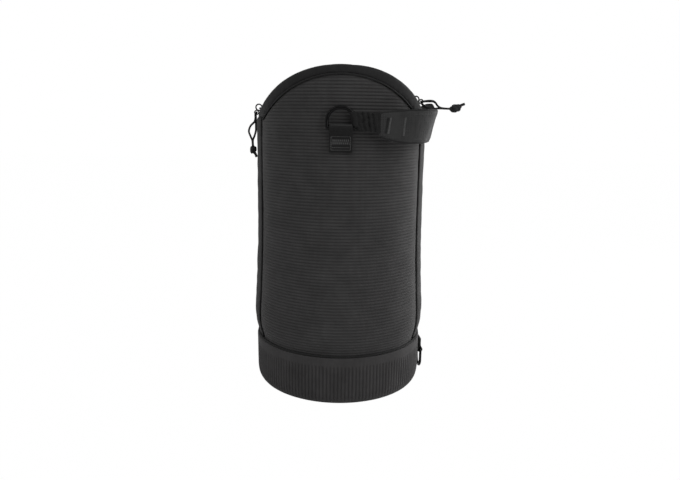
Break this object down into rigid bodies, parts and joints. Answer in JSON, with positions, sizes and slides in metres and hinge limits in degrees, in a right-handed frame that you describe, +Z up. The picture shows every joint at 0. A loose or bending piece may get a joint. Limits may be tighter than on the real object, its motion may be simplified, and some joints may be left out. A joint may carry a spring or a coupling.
{
  "type": "lens case",
  "caption": "Upright padded cylindrical case with an arched zip-open top, a side carry strap on metal rings, a base cup and cord zip pullers.",
  "frame": {"origin": "middle of the flat underside of the cup", "axes": "+Z up along the case, -Y towards the ringed front, +X towards the side where the handle hangs"},
  "size_m": [0.1938, 0.1614, 0.2833],
  "materials": {
    "panel_fabric": "ribbed woven nylon, near-black",
    "crown_fabric": "smooth padded nylon, black",
    "cup_fabric": "ribbed nylon, near-black",
    "binding_tape": "woven binding tape",
    "zip_tape": "woven zip tape",
    "zip_coil": "moulded nylon coil",
    "black_metal": "glossy black coated wire",
    "webbing": "flat woven webbing",
    "strap": "woven strap",
    "thread": "light grey stitching thread",
    "cord": "braided cord",
    "foam": "closed-cell foam",
    "lining": "brushed grey lining",
    "board": "stiff floor board"
  },
  "bodies": {
    "case": {"cup_shell": "cup_fabric", "cup_binding": "binding_tape", "floor_board": "board", "floor_pad": "lining", "wall_foam": "foam", "wall_lining": "lining", "front_panel": "panel_fabric", "rear_panel": "panel_fabric", "side_gusset_right": "panel_fabric", "side_gusset_left": "panel_fabric", "side_piping_front_left": "binding_tape", "side_piping_front_right": "binding_tape", "side_piping_rear_right": "binding_tape", "side_piping_rear_left": "binding_tape", "zip_end_left": "zip_tape", "zip_end_right": "zip_tape", "ring_tab_front": "webbing", "ring_tab_rear": "webbing", "d_ring_front": "black_metal", "d_ring_rear": "black_metal", "cup_ring_tab": "webbing"},
    "front_jaw": {"crown_front": "crown_fabric", "zip_tape_front": "zip_tape", "zip_teeth_front": "zip_coil"},
    "rear_jaw": {"crown_rear": "crown_fabric", "zip_tape_rear": "zip_tape", "zip_teeth_rear": "zip_coil"},
    "slider_left": {"slider_left": "black_metal"},
    "slider_right": {"slider_right": "black_metal"},
    "puller_left": {"pull_ring_left": "black_metal", "pull_cord_left": "cord"},
    "puller_right": {"pull_ring_right": "black_metal", "pull_cord_right": "cord"},
    "handle": {"handle_strap": "strap", "handle_loop_front": "webbing", "handle_loop_rear": "webbing", "bartack_front_1": "thread", "bartack_front_2": "thread", "bartack_rear_1": "thread", "bartack_rear_2": "thread"},
    "cup_ring": {"cup_ring": "black_metal"}
  },
  "joints": [
    {"name": "front_jaw_lean", "type": "hinge", "parent": "case", "child": "front_jaw", "pos_m": [0, 0, 0.2438], "axis": [1, 0, 0], "range_deg": [0, 70], "deforming": ["crown_front"]},
    {"name": "rear_jaw_lean", "type": "hinge", "parent": "case", "child": "rear_jaw", "pos_m": [0, 0, 0.2438], "axis": [-1, 0, 0], "range_deg": [0, 70], "deforming": ["crown_rear"]},
    {"name": "slider_left_run", "type": "hinge", "parent": "case", "child": "slider_left", "pos_m": [0, 0, 0.19728], "axis": [0, -1, 0], "range_deg": [-50.4, 0], "deforming": ["pull_cord_left"]},
    {"name": "slider_right_run", "type": "hinge", "parent": "case", "child": "slider_right", "pos_m": [0, 0, 0.19728], "axis": [0, 1, 0], "range_deg": [-43.2, 0], "deforming": ["pull_cord_right"]},
    {"name": "puller_left_swing", "type": "hinge", "parent": "slider_left", "child": "puller_left", "pos_m": [-0.0736, 0, 0.25036], "axis": [0, -1, 0], "range_deg": [-42, 0], "deforming": ["pull_cord_left"]},
    {"name": "puller_right_swing", "type": "hinge", "parent": "slider_right", "child": "puller_right", "pos_m": [0.06637, 0, 0.25917], "axis": [0, 1, 0], "range_deg": [-40, 0], "deforming": ["pull_cord_right"]},
    {"name": "handle_swing", "type": "hinge", "parent": "case", "child": "handle", "pos_m": [0, 0, 0.2393], "axis": [0, -1, 0], "range_deg": [0, 130], "deforming": ["pull_cord_right", "pull_cord_left"]},
    {"name": "cup_ring_swing", "type": "hinge", "parent": "case", "child": "cup_ring", "pos_m": [0.0788, 0.00689, 0.023], "axis": [0.0872, -0.9962, 0], "range_deg": [0, 120]}
  ]
}
